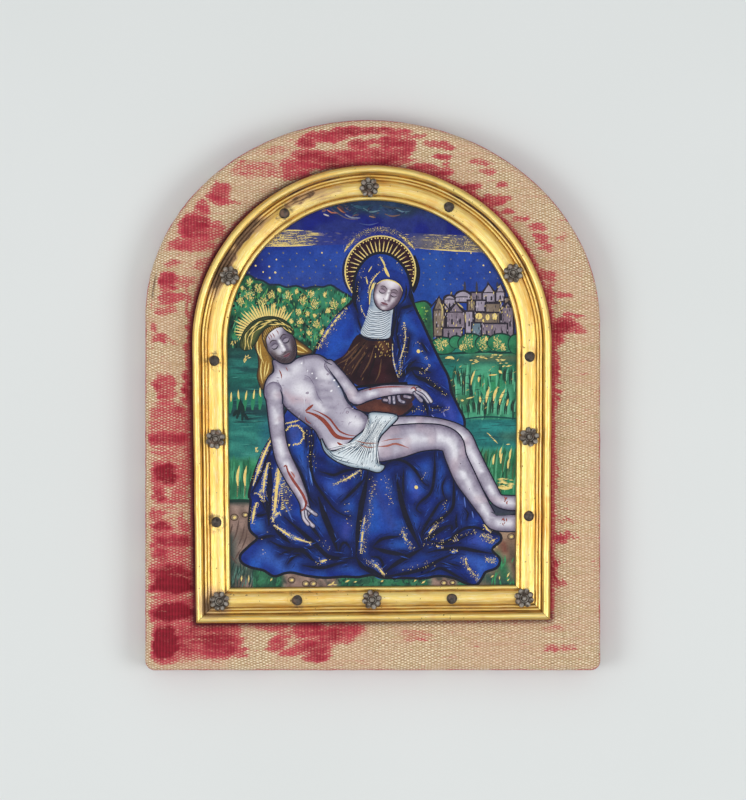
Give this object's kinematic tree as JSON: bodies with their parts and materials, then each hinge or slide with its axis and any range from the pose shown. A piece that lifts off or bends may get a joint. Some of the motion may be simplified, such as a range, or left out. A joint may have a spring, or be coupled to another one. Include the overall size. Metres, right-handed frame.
{
  "type": "enamel plaque",
  "caption": "Arch-topped painted enamel plaque in a gilt moulding, pinned to a velvet-covered wooden board.",
  "frame": {"origin": "middle of the underside, which is the board's bare back", "axes": "+X to the picture's right, +Y to its arched top, +Z out of its front"},
  "size_m": [0.126, 0.1524, 0.0156],
  "materials": {
    "wood": "bare, darkened with age",
    "velvet": "crimson pile worn to a tan ground weave",
    "enamel": "glossy painted enamel on copper",
    "gilt": "polished gilding, dark in the grooves",
    "bronze": "dark brown patina"
  },
  "bodies": {
    "root": {"backing_board": "wood", "velvet_cover": "velvet", "enamel_plate": "enamel", "frame_arch": "gilt", "frame_sill": "gilt", "rosette_pin_1": "bronze", "rosette_pin_2": "bronze", "rosette_pin_3": "bronze", "rosette_pin_4": "bronze", "rosette_pin_5": "bronze", "rosette_pin_6": "bronze", "rosette_pin_7": "bronze", "rosette_pin_8": "bronze", "round_pin_1": "bronze", "round_pin_2": "bronze", "round_pin_3": "bronze", "round_pin_4": "bronze", "round_pin_5": "bronze", "round_pin_6": "bronze", "round_pin_7": "bronze", "round_pin_8": "bronze"}
  },
  "joints": []
}
